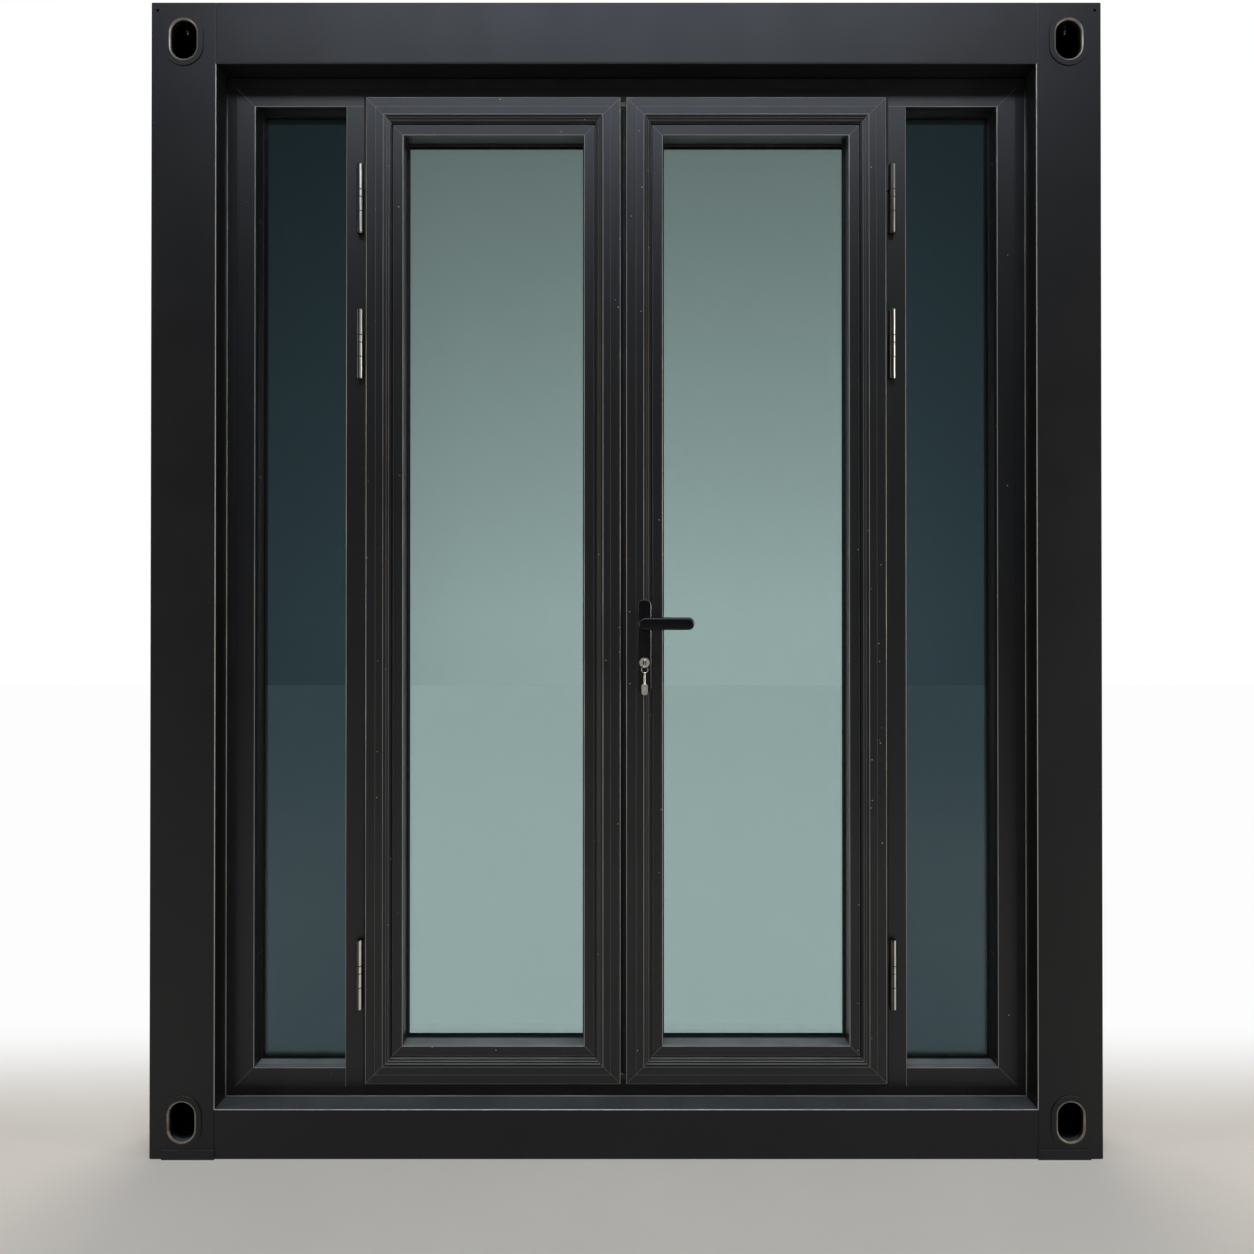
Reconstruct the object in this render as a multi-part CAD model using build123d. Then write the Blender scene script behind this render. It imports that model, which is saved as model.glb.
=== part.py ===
from build123d import *
import os

os.makedirs("parts", exist_ok=True)

# Glazed double door in a steel end frame. Millimetres, +Z up, outside faces -Y.
# The origin is the centre of the sill beam's underside.

# Steel end frame
overall_width = 2040.0
overall_height = 2480.0
post_width = 140.0
post_depth = 160.0
tube_wall = 4.0
tube_corner = 3.0
header_height = 132.0
sill_height = 107.0

# Corner fittings
fitting_height = 160.0
fitting_wall = 12.0
aperture_width = 54.0
aperture_height = 83.0
aperture_rim = 4.0
ring_margin = 15.0
ring_proud = 2.0
vent_hole_radius = 3.0
vent_hole_inset = 14.0
vent_hole_drop = 17.5
foot_height = 21.0
foot_proud = 2.0
foot_setback = 27.0

# Aluminium frame of the sidelights and the doorway
frame_recess = 58.0
frame_depth = 80.0
frame_face = 62.0
frame_wall = 2.0
frame_lip = 16.0
glass_pocket = 18.0
sidelight_daylight = 200.0
threshold_height = 46.0

# Sealed glass units and their beads
pane = 5.0
pane_space = 9.0
gasket = 3.0
gasket_show = 2.0
spacer_width = 7.0
glass_edge_gap = 6.0
trim_depth = 14.0
trim_slope = 5.0
bead_wall = 1.6
hairline = 0.3

# Leaves
leaf_recess = 42.0
leaf_depth = 78.0
leaf_overlap = 15.0
running_gap = 5.0
meeting_gap = 12.0
meeting_line = -6.0
sight_width = 81.0
outer_band = 20.0
band_step = 2.0
score_width = 1.2
score_depth = 1.5
ridge_at = 41.0
ridge_width = 3.0
ridge_height = 1.0
slope_width = 13.0
slope_drop = 10.0
rib_count = 3
rib_flat_share = 0.75
rib_drop_share = 0.35
groove_width = 3.0
groove_depth = 6.0
bead_width = 23.0
bead_depth = 40.0
rear_flange = 4.0
leaf_wall = 2.5
edge_wall = 4.0
arris = 2.0
edge_break = 1.0
seal_proud = 3.0
seal_width = 10.0
seal_setback = 14.0

# Barrel hinges
hinge_radius = 7.0
hinge_length = 150.0
hinge_upper_knuckle = 55.0
hinge_edge_gap = 7.0
hinge_face_gap = 1.0
hinge_end_inset = 222.0
hinge_spacing = 320.0
hinge_bottom_inset = 238.0
hinge_wing = 2.0
pin_radius = 4.0
pin_reach = 35.0
pin_play = 0.1
knuckle_play = 0.3

# Handle, lock and key
handle_setback = 40.0
handle_height = 1145.0
lock_spacing = 85.0
plate_width = 30.0
plate_length = 205.0
plate_thickness = 10.0
plate_above_axis = 53.0
plate_corner = 13.0
lever_length = 119.0
lever_height = 27.0
lever_thickness = 12.0
lever_standoff = 38.0
lever_round = 4.0
neck_radius = 9.0
spindle_width = 8.0
spindle_hold = 10.0
spindle_bore_radius = 6.5
stile_bore_radius = 8.0
lever_play = 0.3
cylinder_radius = 8.5
cylinder_play = 0.1
cylinder_disc_radius = 11.0
cylinder_disc = 3.0
keyway_width = 2.6
keyway_height = 9.0
keyway_depth = 16.0
key_thickness = 2.2
key_blade_height = 8.0
key_bow_length = 20.0
key_bow_height = 22.0
key_bow_corner = 6.6
key_hole_radius = 2.4
key_ring_radius = 7.0
key_ring_wire = 0.9
key_ring_sides = 6
tag_eye_radius = 4.0
tag_shank_radius = 2.2
tag_shank_length = 20.0
tag_width = 13.5
tag_length = 25.0
tag_corner = 6.0
tag_thickness = 3.0
link_play = 0.2
edge_plate_thickness = 2.5
edge_plate_width = 20.0
edge_plate_length = 240.0
latch_window_height = 34.0
latch_window_width = 12.0

# Places worked out from the sizes above
front_y = -post_depth / 2
leaf_y = front_y + leaf_recess
frame_y = front_y + frame_recess
opening_half = overall_width / 2 - post_width
opening_top = overall_height - header_height
head_edge = opening_top - frame_face
rail_edge = sill_height + frame_face
threshold_top = sill_height + threshold_height
jamb_inner = opening_half - frame_face
mullion_outer = jamb_inner - sidelight_daylight
mullion_inner = mullion_outer - frame_face
pocket_wall = frame_face - glass_pocket
glass_bite = glass_pocket - glass_edge_gap
glass_thickness = 2 * pane + pane_space
lip_back = frame_recess - leaf_recess - running_gap
rebate = leaf_overlap + running_gap
bead_seat = sight_width - bead_width
bead_back = slope_drop + bead_depth
flange_front = leaf_depth - rear_flange
leaf_bottom = threshold_top - leaf_overlap
leaf_top = head_edge + leaf_overlap
leaf_outer = mullion_inner + leaf_overlap
left_leaf_span = (-leaf_outer, meeting_line - meeting_gap / 2)
right_leaf_span = (meeting_line + meeting_gap / 2, leaf_outer)
hinge_x = leaf_outer + hinge_edge_gap + hinge_radius
hinge_y = frame_y - hinge_face_gap - hinge_radius
hinge_heights = (leaf_top - hinge_end_inset, leaf_top - hinge_end_inset - hinge_spacing,
                 leaf_bottom + hinge_bottom_inset)
handle_x = right_leaf_span[0] + handle_setback
lock_height = handle_height - lock_spacing
leaf_back_y = leaf_y + leaf_depth


def save(node, *solids):
    """Write one sub-part, which may hold several solids that stand apart."""
    pieces = [solid for shape in solids for solid in shape.solids()]
    export_step(pieces[0] if len(pieces) == 1 else Compound(children=pieces), f"parts/{node}.step")


def block(x, y, z):
    """Box between two limits along each axis."""
    limits = (sorted(x), sorted(y), sorted(z))
    sizes = [high - low for low, high in limits]
    middle = [(high + low) / 2 for low, high in limits]
    return Pos(*middle) * Box(*sizes)


def box_tube(x, y, z, wall, along):
    """Rectangular tube, open at both ends of the axis that is named."""
    limits = {"x": x, "y": y, "z": z}
    inner = {axis: span if axis == along else (span[0] + wall, span[1] - wall)
             for axis, span in limits.items()}
    return block(x, y, z) - block(inner["x"], inner["y"], inner["z"])


def rolled_tube(width, height, length, seat):
    """Rectangular steel tube with rolled corners, drawn on a plane and run along its normal."""
    inside = Rectangle(width - 2 * tube_wall, height - 2 * tube_wall)
    return extrude(seat * (RectangleRounded(width, height, tube_corner) - inside), length)


def facing(direction, x, y, z):
    """Plane at a point, looking along a horizontal or vertical direction, with Z or Y up the sketch."""
    across = (0, 1, 0) if direction[0] else (1, 0, 0)
    return Plane(origin=(x, y, z), x_dir=across, z_dir=direction)


def ring(x, z, y, width):
    """Flat rectangular ring with its outer limits in X and Z."""
    hole = block((x[0] + width, x[1] - width), y, (z[0] + width, z[1] - width))
    return block(x, y, z) - hole


def rounded(outline, corners, radius):
    """Round the chosen corners of a flat outline."""
    near = [outline.vertices().sort_by_distance((u, w, 0))[0] for u, w in corners]
    return fillet(near, radius)


def bar(section, start, inward, length, mitred=(True, True), gap=0.0):
    """Length of profile. Its section's first axis points inward and the second one to the back."""
    across = Vector(*inward)
    along = across.cross(Vector(0, 1, 0))
    first = Vector(*start)
    last = first + along * length
    body = extrude(Plane(origin=first, x_dir=across, z_dir=along) * section, length)
    if mitred[0]:
        body = split(body, Plane(origin=first + along * gap / 2, z_dir=along - across), Keep.TOP)
    if mitred[1]:
        body = split(body, Plane(origin=last - along * gap / 2, z_dir=-along - across), Keep.TOP)
    return body


def mitred_ring(x, z, y, left, top, right, bottom, gap=0.0):
    """Four mitred bars round a rectangle, in the order left, top, right, bottom."""
    width = x[1] - x[0]
    height = z[1] - z[0]
    return [bar(left, (x[0], y, z[0]), (1, 0, 0), height, gap=gap),
            bar(top, (x[0], y, z[1]), (0, 0, -1), width, gap=gap),
            bar(right, (x[1], y, z[1]), (-1, 0, 0), height, gap=gap),
            bar(bottom, (x[1], y, z[0]), (0, 0, 1), width, gap=gap)]


# Steel end frame: box posts and beams between the corner fittings

def steel_frame():
    post_x = (overall_width - post_width) / 2
    post_length = overall_height - 2 * fitting_height
    for side, x in (("left", -post_x), ("right", post_x)):
        foot = facing((0, 0, 1), x, 0, fitting_height)
        save(f"{side}_post", rolled_tube(post_width, post_depth, post_length, foot))
    for node, height, middle in (("header_beam", header_height, overall_height - header_height / 2),
                                 ("sill_beam", sill_height, sill_height / 2)):
        end = facing((1, 0, 0), -opening_half, 0, middle)
        save(node, rolled_tube(post_depth, height, 2 * opening_half, end))


def corner_fitting(top):
    """Right-hand hollow block about its own centre, with a rounded slot in its front."""
    body = Box(post_width, post_depth, fitting_height)
    slot = SlotOverall(aperture_height, aperture_width, rotation=90)
    collar = SlotOverall(aperture_height + 2 * ring_margin, aperture_width + 2 * ring_margin, rotation=90)
    post_joint = body.faces().sort_by(Axis.Z)[0 if top else -1]
    joint_edges = post_joint.edges()
    body = fillet([edge for edge in body.edges() if edge not in joint_edges], tube_corner)
    front = facing((0, -1, 0), 0, front_y, 0)
    body += extrude(front * collar, ring_proud)
    body -= Box(*(size - 2 * fitting_wall for size in (post_width, post_depth, fitting_height)))
    body -= extrude(front.offset(ring_proud) * slot, -ring_proud - fitting_wall)
    rim = [edge for edge in body.edges().group_by(Axis.Y)[0]
           if abs(edge.center().X) < aperture_width / 2 + edge_break
           and abs(edge.center().Z) < aperture_height / 2 + edge_break]
    body = chamfer(rim, aperture_rim)
    if top:
        vent = facing((0, -1, 0), post_width / 2 - vent_hole_inset, front_y,
                      fitting_height / 2 - vent_hole_drop)
        body -= extrude(vent * Circle(vent_hole_radius), -fitting_wall)
    else:
        body += block((-post_width / 2, post_width / 2 - foot_setback), (front_y - foot_proud, front_y),
                      (-fitting_height / 2, -fitting_height / 2 + foot_height))
    return body


def corner_fittings():
    offset = (overall_width - post_width) / 2
    for level, top in (("top", True), ("bottom", False)):
        height = overall_height - fitting_height / 2 if top else fitting_height / 2
        right = Pos(offset, 0, height) * corner_fitting(top)
        save(f"{level}_right_corner_fitting", right)
        save(f"{level}_left_corner_fitting", mirror(right, Plane.YZ))


# Aluminium frame: mitred at its outer corners, with mullions and a low threshold

def glazing_section():
    """Frame profile with a front lip. Glass, gaskets and beads go in the pocket behind the lip."""
    outline = make_face(Polyline((0, 0), (frame_face, 0), (frame_face, frame_lip), (pocket_wall, frame_lip),
                                 (pocket_wall, frame_depth), (0, frame_depth), close=True))
    outline = rounded(outline, [(frame_face, 0)], arris)
    chamber = Pos(pocket_wall / 2, frame_depth / 2) * Rectangle(pocket_wall - 2 * frame_wall,
                                                                frame_depth - 2 * frame_wall)
    lip_chamber = Pos((pocket_wall + frame_face) / 2, frame_lip / 2) * Rectangle(
        glass_pocket - 2 * frame_wall, frame_lip - 2 * frame_wall)
    return outline - chamber - lip_chamber


def aluminium_frame():
    section = glazing_section()
    height = opening_top - sill_height
    behind_lip = (frame_y + frame_lip, frame_y + frame_depth)
    save("frame_left_jamb", bar(section, (-opening_half, frame_y, sill_height), (1, 0, 0), height))
    save("frame_right_jamb", bar(section, (opening_half, frame_y, opening_top), (-1, 0, 0), height))

    # Over the doorway the head has no glass pocket, so a box closes it down to the head's edge
    closer_half = mullion_outer - glass_pocket
    closer = box_tube((-closer_half, closer_half), behind_lip, (head_edge, opening_top - pocket_wall),
                      frame_wall, "x")
    head = bar(section, (-opening_half, frame_y, opening_top), (0, 0, -1), 2 * opening_half)
    save("frame_head", head + closer)

    # Each sidelight sill runs under the mullion's lip, up to the mullion's own box
    sill_length = opening_half - mullion_outer + glass_pocket
    right_sill = bar(section, (opening_half, frame_y, sill_height), (0, 0, 1), sill_length, (True, False))
    right_sill -= block((mullion_outer - glass_pocket, mullion_outer), (frame_y, frame_y + frame_lip),
                        (sill_height, rail_edge))
    save("sidelight_sills", right_sill, mirror(right_sill, Plane.YZ))

    right_mullion = bar(section, (mullion_inner, frame_y, sill_height), (1, 0, 0), head_edge - sill_height,
                        (False, False))
    save("right_mullion", right_mullion)
    save("left_mullion", mirror(right_mullion, Plane.YZ))
    save("door_threshold", box_tube((-mullion_inner, mullion_inner), (frame_y, frame_y + frame_depth),
                                    (sill_height, threshold_top), frame_wall, "x"))


def sidelight_glazing():
    """Right sidelight: two panes, spacer, gaskets, a sloped trim outside and a square bead inside."""
    pocket_x = (mullion_outer - glass_pocket, jamb_inner + glass_pocket)
    pocket_z = (rail_edge - glass_pocket, head_edge + glass_pocket)
    edge_x = (mullion_outer - glass_bite, jamb_inner + glass_bite)
    edge_z = (rail_edge - glass_bite, head_edge + glass_bite)
    trim_y = frame_y + frame_lip
    glass_y = trim_y + trim_depth + gasket
    inner_y = glass_y + glass_thickness
    bead_y = inner_y + gasket
    bead_length = frame_y + frame_depth - bead_y
    panes = [block(edge_x, (glass_y, glass_y + pane), edge_z),
             block(edge_x, (inner_y - pane, inner_y), edge_z)]
    seals = [ring(edge_x, edge_z, (glass_y - gasket, glass_y), glass_bite + trim_slope + gasket_show),
             ring(edge_x, edge_z, (glass_y + pane, inner_y - pane), spacer_width),
             ring(edge_x, edge_z, (inner_y, bead_y), glass_bite + gasket_show)]
    trim = make_face(Polyline((0, 0), (glass_pocket, 0), (glass_pocket + trim_slope, trim_depth),
                              (0, trim_depth), close=True))
    trim -= Pos(glass_pocket / 2, trim_depth / 2) * Rectangle(glass_pocket - 2 * bead_wall,
                                                              trim_depth - 2 * bead_wall)
    bead = Rectangle(glass_pocket, bead_length, align=(Align.MIN, Align.MIN))
    bead -= Pos(bead_wall, bead_wall) * Rectangle(glass_pocket - 2 * bead_wall, bead_length - 2 * bead_wall,
                                                  align=(Align.MIN, Align.MIN))
    strips = mitred_ring(pocket_x, pocket_z, trim_y, trim, trim, trim, trim, hairline)
    strips += mitred_ring(pocket_x, pocket_z, bead_y, bead, bead, bead, bead, hairline)
    for node, solids in (("sidelight_glass", panes), ("sidelight_gaskets", seals),
                         ("sidelight_beads", strips)):
        save(node, *solids, *(mirror(solid, Plane.YZ) for solid in solids))


# Leaves: stepped and ribbed profile, mitred, with the lip over the frame on three sides

def leaf_section(rebated):
    """Leaf profile. The first axis runs in from the leaf's edge and the second one back from its front."""
    score = outer_band + score_width
    band_floor = ridge_height + band_step
    slope_foot = ridge_at + slope_width
    groove_wall = bead_seat - groove_width
    groove_floor = slope_drop + groove_depth
    rib = slope_width / rib_count
    drop = slope_drop / rib_count
    front = [(0, band_floor), (outer_band, band_floor), (outer_band, band_floor + score_depth),
             (score, band_floor + score_depth), (score, ridge_height),
             (ridge_at - ridge_width, ridge_height), (ridge_at - ridge_width + edge_break, 0)]
    for step in range(rib_count):
        crest = (ridge_at + step * rib, step * drop)
        front += [crest, (crest[0] + rib_flat_share * rib, crest[1] + rib_drop_share * drop)]
    front += [(slope_foot, slope_drop), (groove_wall, slope_drop), (groove_wall, groove_floor),
              (bead_seat, groove_floor), (bead_seat, flange_front), (sight_width, flange_front),
              (sight_width, leaf_depth)]
    back = [(rebate, leaf_depth), (rebate, lip_back), (0, lip_back)] if rebated else [(0, leaf_depth)]
    outline = rounded(make_face(Polyline(*front, *back, close=True)), [(0, band_floor)], arris)

    # Two chambers: the front one follows the slope and the groove, the rear one is square
    near = rebate + leaf_wall
    web = (lip_back + leaf_depth) / 2
    front_chamber = [(near, band_floor + score_depth + leaf_wall),
                     (ridge_at - leaf_wall, band_floor + leaf_wall),
                     (groove_wall - leaf_wall, slope_drop + leaf_wall),
                     (groove_wall - leaf_wall, groove_floor + leaf_wall),
                     (bead_seat - leaf_wall, groove_floor + leaf_wall),
                     (bead_seat - leaf_wall, web - leaf_wall), (near, web - leaf_wall)]
    rear_chamber = [(near, web), (bead_seat - leaf_wall, web),
                    (bead_seat - leaf_wall, leaf_depth - leaf_wall), (near, leaf_depth - leaf_wall)]
    for chamber in (front_chamber, rear_chamber):
        outline -= make_face(Polyline(*chamber, close=True))
    return outline


def leaf_bead_section():
    """Hollow glazing bead on the outside of the leaf."""
    outline = Pos(bead_seat, slope_drop) * Rectangle(bead_width, bead_depth, align=(Align.MIN, Align.MIN))
    outline = rounded(outline, [(sight_width, slope_drop)], arris)
    outer_corner = outline.vertices().sort_by(lambda vertex: vertex.X + vertex.Y)[0]
    outline = chamfer(outer_corner, edge_break)
    inside = Rectangle(bead_width - 2 * bead_wall, bead_depth - 2 * bead_wall, align=(Align.MIN, Align.MIN))
    return outline - Pos(bead_seat + bead_wall, slope_drop + bead_wall) * inside


def meeting_stile_cuts(edge, inward):
    """Space taken out of a meeting stile: the edge chamber and the notches that clear the frame."""
    chamber = block((edge + inward * edge_wall, edge + inward * (rebate - leaf_wall)),
                    (leaf_y + lip_back + leaf_wall, leaf_back_y - leaf_wall),
                    (leaf_bottom + rebate + leaf_wall, leaf_top - rebate - leaf_wall))
    reach = (edge, edge + inward * sight_width)
    behind_lip = (leaf_y + lip_back, leaf_back_y)
    return [chamber, block(reach, behind_lip, (leaf_top - rebate, leaf_top)),
            block(reach, behind_lip, (leaf_bottom, leaf_bottom + rebate))]


def edge_plate_pocket(edge, inward):
    """Pocket for the lock's edge plate, sunk flush in a meeting stile's edge."""
    middle_y = leaf_y + leaf_depth / 2
    middle_z = handle_height - lock_spacing / 2
    return block((edge, edge + inward * edge_plate_thickness),
                 (middle_y - edge_plate_width / 2, middle_y + edge_plate_width / 2),
                 (middle_z - edge_plate_length / 2, middle_z + edge_plate_length / 2))


def edge_plate(edge, inward):
    """Lock faceplate or strike, with windows for the latch and the bolt."""
    plate = edge_plate_pocket(edge, inward)
    middle_y = leaf_y + leaf_depth / 2
    for height in (handle_height, lock_height):
        plate -= block((edge, edge + inward * edge_plate_thickness),
                       (middle_y - latch_window_width / 2, middle_y + latch_window_width / 2),
                       (height - latch_window_height / 2, height + latch_window_height / 2))
    return plate


def through_bore(radius, height):
    """Round hole through the whole handle assembly at the handle's line."""
    length = leaf_depth + 2 * plate_thickness
    return Pos(handle_x, leaf_y + leaf_depth / 2, height) * Rot(90, 0, 0) * Cylinder(radius, length)


def leaf(name, span, meeting_on_right):
    lapped = leaf_section(True)
    squared = leaf_section(False)
    height = (leaf_bottom, leaf_top)
    edge = span[1] if meeting_on_right else span[0]
    inward = -1 if meeting_on_right else 1
    left_section, right_section = (lapped, squared) if meeting_on_right else (squared, lapped)
    left, top, right, bottom = mitred_ring(span, height, leaf_y, left_section, lapped, right_section, lapped)
    hinge_stile, meeting_stile = (left, right) if meeting_on_right else (right, left)
    meeting_stile -= meeting_stile_cuts(edge, inward)
    meeting_stile -= edge_plate_pocket(edge, inward)
    if not meeting_on_right:
        meeting_stile -= through_bore(stile_bore_radius, handle_height)
        meeting_stile -= through_bore(cylinder_radius + cylinder_play, lock_height)
    save(f"{name}_hinge_stile", hinge_stile)
    save(f"{name}_meeting_stile", meeting_stile)
    save(f"{name}_top_rail", top)
    save(f"{name}_bottom_rail", bottom)

    bead = leaf_bead_section()
    save(f"{name}_beads", *mitred_ring(span, height, leaf_y, bead, bead, bead, bead, hairline))

    # Sealed unit behind the bead, held between two gaskets against the rear flange
    cover = bead_seat + bead_width - glass_bite
    edge_x = (span[0] + cover, span[1] - cover)
    edge_z = (leaf_bottom + cover, leaf_top - cover)
    outer_face = leaf_y + bead_back + gasket
    inner_face = outer_face + glass_thickness
    save(f"{name}_glass", block(edge_x, (outer_face, outer_face + pane), edge_z),
         block(edge_x, (inner_face - pane, inner_face), edge_z))
    seal_x = (edge, edge - inward * seal_proud)
    seal_y = (leaf_y + seal_setback, leaf_y + seal_setback + seal_width)
    save(f"{name}_seals",
         ring(edge_x, edge_z, (outer_face - gasket, outer_face), glass_bite + gasket_show),
         ring(edge_x, edge_z, (outer_face + pane, inner_face - pane), spacer_width),
         ring(edge_x, edge_z, (inner_face, leaf_y + flange_front), glass_bite + gasket_show),
         block(seal_x, seal_y, (leaf_bottom + rebate, leaf_top - rebate)))
    save("strike_plate" if meeting_on_right else "lock_faceplate", edge_plate(edge, inward))


# Hinges: lift-off barrels, with the wings hidden between the leaf's lip and the mullion

def hinge(height):
    """Right-hand hinge: frame half, leaf half and pin."""
    base = height - hinge_length / 2
    joint = base + hinge_length - hinge_upper_knuckle
    axis = Pos(hinge_x, hinge_y, 0)
    upward = (Align.CENTER, Align.CENTER, Align.MIN)
    bore = Cylinder(pin_radius + pin_play, pin_reach + knuckle_play, align=upward)
    lower = axis * Pos(0, 0, base) * Cylinder(hinge_radius, joint - base, align=upward)
    lower += block((mullion_inner, hinge_x), (frame_y - hinge_wing, frame_y), (base, joint))
    lower -= axis * Pos(0, 0, joint - pin_reach) * bore
    lip_face = leaf_y + lip_back
    start = joint + knuckle_play
    top = base + hinge_length
    upper = axis * Pos(0, 0, start) * Cylinder(hinge_radius, top - start, align=upward)
    upper += block((mullion_inner, hinge_x), (lip_face, lip_face + hinge_wing), (start, top))
    upper -= axis * Pos(0, 0, start) * bore
    pin = axis * Pos(0, 0, joint - pin_reach) * Cylinder(pin_radius, 2 * pin_reach, align=upward)
    return lower, upper, pin


def hinges():
    frame_halves = []
    leaf_halves = []
    pins = []
    for height in hinge_heights:
        lower, upper, pin = hinge(height)
        frame_halves += [lower, mirror(lower, Plane.YZ)]
        pins += [pin, mirror(pin, Plane.YZ)]
        leaf_halves.append(upper)
    save("hinge_frame_halves", *frame_halves)
    save("hinge_pins", *pins)
    save("right_hinge_leaf_halves", *leaf_halves)
    save("left_hinge_leaf_halves", *(mirror(half, Plane.YZ) for half in leaf_halves))


# Handle set: long plates, a lever on each side on one spindle, a lock cylinder with its key

def handle_plate(outside):
    face = leaf_y if outside else leaf_back_y
    direction = (0, -1, 0) if outside else (0, 1, 0)
    centre = handle_height + plate_above_axis - plate_length / 2
    outline = RectangleRounded(plate_width, plate_length, plate_corner)
    plate = extrude(facing(direction, handle_x, face, centre) * outline, plate_thickness)
    outer_edges = plate.edges().group_by(Axis.Y)[0 if outside else -1]
    plate = chamfer(outer_edges, arris)
    plate -= through_bore(spindle_bore_radius, handle_height)
    plate -= through_bore(cylinder_radius + cylinder_play, lock_height)
    return plate


def lever(outside):
    """Flat rounded lever on a round neck, standing off its plate."""
    direction = (0, -1, 0) if outside else (0, 1, 0)
    side = direction[1]
    face = leaf_y - plate_thickness if outside else leaf_back_y + plate_thickness
    grip_x = handle_x + (lever_length - lever_height) / 2
    grip_plane = facing(direction, grip_x, face + side * lever_standoff, handle_height)
    grip = extrude(grip_plane * SlotOverall(lever_length, lever_height), lever_thickness)
    grip = chamfer(grip.faces().filter_by(Axis.Y).edges(), lever_round)
    neck_plane = facing(direction, handle_x, face + side * lever_play, handle_height)
    neck_length = lever_standoff - lever_play + lever_thickness / 2
    return grip + extrude(neck_plane * Circle(neck_radius), neck_length)


def handle_set():
    save("outside_handle_plate", handle_plate(True))
    save("inside_handle_plate", handle_plate(False))
    half = spindle_width / 2
    inner_end = leaf_back_y + plate_thickness + spindle_hold
    square = ((handle_x - half, handle_x + half), (handle_height - half, handle_height + half))
    spindle = block(square[0], (leaf_y - plate_thickness - lever_standoff, inner_end), square[1])
    save("outside_lever", lever(True) + spindle)
    save("inside_lever", lever(False) - spindle)


def lock_and_key():
    outer = leaf_y - plate_thickness
    body = extrude(facing((0, 1, 0), handle_x, outer, lock_height) * Circle(cylinder_radius),
                   leaf_depth + 2 * plate_thickness)
    disc_plane = facing((0, -1, 0), handle_x, outer, lock_height)
    body += extrude(disc_plane * Circle(cylinder_disc_radius), cylinder_disc)
    face = outer - cylinder_disc
    body -= block((handle_x - keyway_width / 2, handle_x + keyway_width / 2), (face, face + keyway_depth),
                  (lock_height - keyway_height / 2, lock_height + keyway_height / 2))
    save("lock_cylinder", body)

    # The key's head stands edge-on to the door, and a ring through it carries the tag
    thin = (handle_x - key_thickness / 2, handle_x + key_thickness / 2)
    key = block(thin, (face - arris, face + keyway_depth),
                (lock_height - key_blade_height / 2, lock_height + key_blade_height / 2))
    bow_y = face - arris - key_bow_length / 2
    bow = facing((1, 0, 0), thin[0], bow_y, lock_height) * RectangleRounded(
        key_bow_length, key_bow_height, key_bow_corner)
    key += extrude(bow, key_thickness)
    hole_z = lock_height - key_bow_height / 2 + 2 * key_hole_radius
    key -= extrude(facing((1, 0, 0), thin[0], bow_y, hole_z) * Circle(key_hole_radius), key_thickness)
    wire_top = hole_z - key_hole_radius + key_ring_wire + link_play
    wire = Plane.XZ * Pos(key_ring_radius, 0) * RegularPolygon(key_ring_wire, key_ring_sides)
    key_ring = Pos(handle_x, bow_y, wire_top - key_ring_radius) * Rot(90, 0, 0) * revolve(wire, Axis.Z)
    save("key", key, key_ring)

    eye_hole = tag_eye_radius / 2
    eye_z = wire_top - 2 * key_ring_radius + key_ring_wire + link_play - eye_hole
    eye = facing((1, 0, 0), handle_x - tag_thickness / 2, bow_y, eye_z)
    shank_end = eye_z - tag_eye_radius - tag_shank_length
    tag = extrude(eye * Circle(tag_eye_radius), tag_thickness)
    tag += Pos(handle_x, bow_y, shank_end) * Cylinder(tag_shank_radius, tag_shank_length + arris,
                                                      align=(Align.CENTER, Align.CENTER, Align.MIN))
    paddle = facing((0, -1, 0), handle_x, bow_y + tag_thickness / 2, shank_end - tag_length / 2 + arris)
    tag += extrude(paddle * RectangleRounded(tag_width, tag_length, tag_corner), tag_thickness)
    tag -= extrude(eye * Circle(eye_hole), tag_thickness)
    save("key_tag", tag)


steel_frame()
corner_fittings()
aluminium_frame()
sidelight_glazing()
leaf("left_leaf", left_leaf_span, True)
leaf("right_leaf", right_leaf_span, False)
hinges()
handle_set()
lock_and_key()
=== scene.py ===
import math

import bmesh
import bpy
from mathutils import Matrix, Vector


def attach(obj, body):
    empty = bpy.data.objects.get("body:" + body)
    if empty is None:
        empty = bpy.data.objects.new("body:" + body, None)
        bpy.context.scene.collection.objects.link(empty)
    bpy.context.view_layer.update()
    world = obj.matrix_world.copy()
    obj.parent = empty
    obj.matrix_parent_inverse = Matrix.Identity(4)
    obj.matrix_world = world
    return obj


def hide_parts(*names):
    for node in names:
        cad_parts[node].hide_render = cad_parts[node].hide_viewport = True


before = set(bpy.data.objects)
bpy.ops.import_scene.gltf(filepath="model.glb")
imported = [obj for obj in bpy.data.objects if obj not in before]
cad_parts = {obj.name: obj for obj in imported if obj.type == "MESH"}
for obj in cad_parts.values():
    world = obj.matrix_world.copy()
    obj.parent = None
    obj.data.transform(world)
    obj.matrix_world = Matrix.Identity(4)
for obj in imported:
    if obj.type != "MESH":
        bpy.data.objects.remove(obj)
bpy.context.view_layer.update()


# Steel posts and beams.
# Rolled box tube, welded between the corner fittings and powder coated in charcoal.
# The coat is satin, a little uneven over a hand's width, with fine orange peel and pale dust. Faces that
# look up are lighter, both as dust and as painted top light, and the opening's arris carries a painted
# highlight.

MM = 0.001


def linear(code):
    """Linear colour of an sRGB hex value."""
    parts = [int(code[at:at + 2], 16) / 255 for at in (1, 3, 5)]
    return [part / 12.92 if part <= 0.04045 else ((part + 0.055) / 1.055) ** 2.4 for part in parts] + [1.0]


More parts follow.
